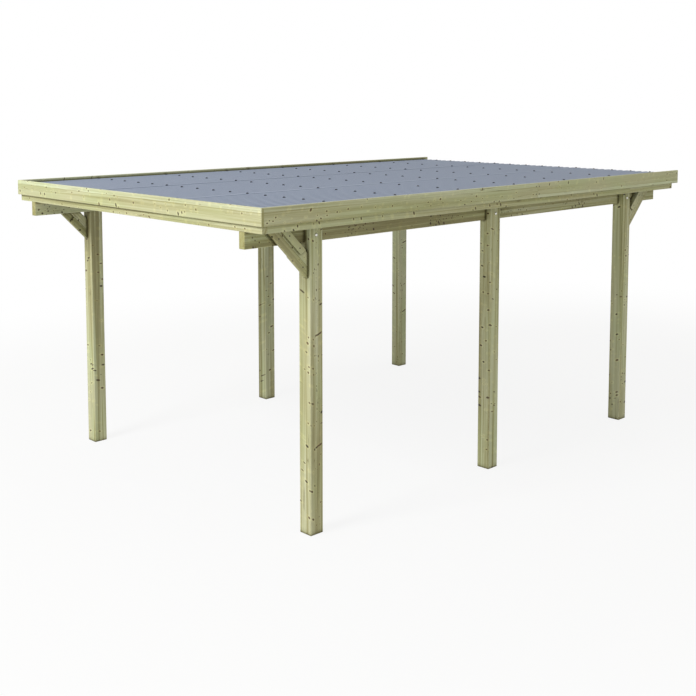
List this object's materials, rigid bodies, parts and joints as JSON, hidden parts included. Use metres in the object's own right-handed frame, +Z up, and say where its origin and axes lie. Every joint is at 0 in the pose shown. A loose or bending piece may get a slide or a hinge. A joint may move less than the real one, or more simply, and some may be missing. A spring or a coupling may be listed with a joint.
{
  "type": "carport",
  "caption": "Open timber carport: square posts with notched heads carry side beams, angled braces, a level purlin frame edged by fascia boards, and corrugated roof sheets.",
  "frame": {"origin": "on the ground, midway between the two sides and midway between the front fascia's face and the rear ends of the side fascias", "axes": "+Z up; +Y from the front towards the rear, along the beams; +X to the right seen from the front; the front fascia faces -Y"},
  "size_m": [3.22, 5.12, 2.32],
  "materials": {
    "post_wood": "planed, pressure-treated pine",
    "beam_wood": "planed, pressure-treated pine",
    "brace_wood": "planed, pressure-treated pine",
    "frame_wood": "planed, pressure-treated pine",
    "fascia_wood": "planed, pressure-treated pine",
    "roof_sheet": "smooth blue-grey corrugated plastic"
  },
  "bodies": {
    "root": {"post_front_left": "post_wood", "post_front_right": "post_wood", "post_middle_left": "post_wood", "post_middle_right": "post_wood", "post_rear_left": "post_wood", "post_rear_right": "post_wood", "beam_left": "beam_wood", "beam_right": "beam_wood", "brace_front_left_lower": "brace_wood", "brace_front_left_upper": "brace_wood", "brace_front_right_lower": "brace_wood", "brace_front_right_upper": "brace_wood", "brace_rear_left_lower": "brace_wood", "brace_rear_left_upper": "brace_wood", "brace_rear_right_lower": "brace_wood", "brace_rear_right_upper": "brace_wood", "rim_front": "frame_wood", "rim_rear": "frame_wood", "rim_left_front": "frame_wood", "rim_left_rear": "frame_wood", "rim_right_front": "frame_wood", "rim_right_rear": "frame_wood", "purlin_1": "frame_wood", "purlin_2": "frame_wood", "purlin_3": "frame_wood", "purlin_4": "frame_wood", "purlin_5": "frame_wood", "purlin_6": "frame_wood", "fascia_front": "fascia_wood", "fascia_left_front": "fascia_wood", "fascia_left_rear": "fascia_wood", "fascia_right_front": "fascia_wood", "fascia_right_rear": "fascia_wood", "roof_sheet_left": "roof_sheet", "roof_sheet_middle": "roof_sheet", "roof_sheet_right": "roof_sheet"}
  },
  "joints": []
}
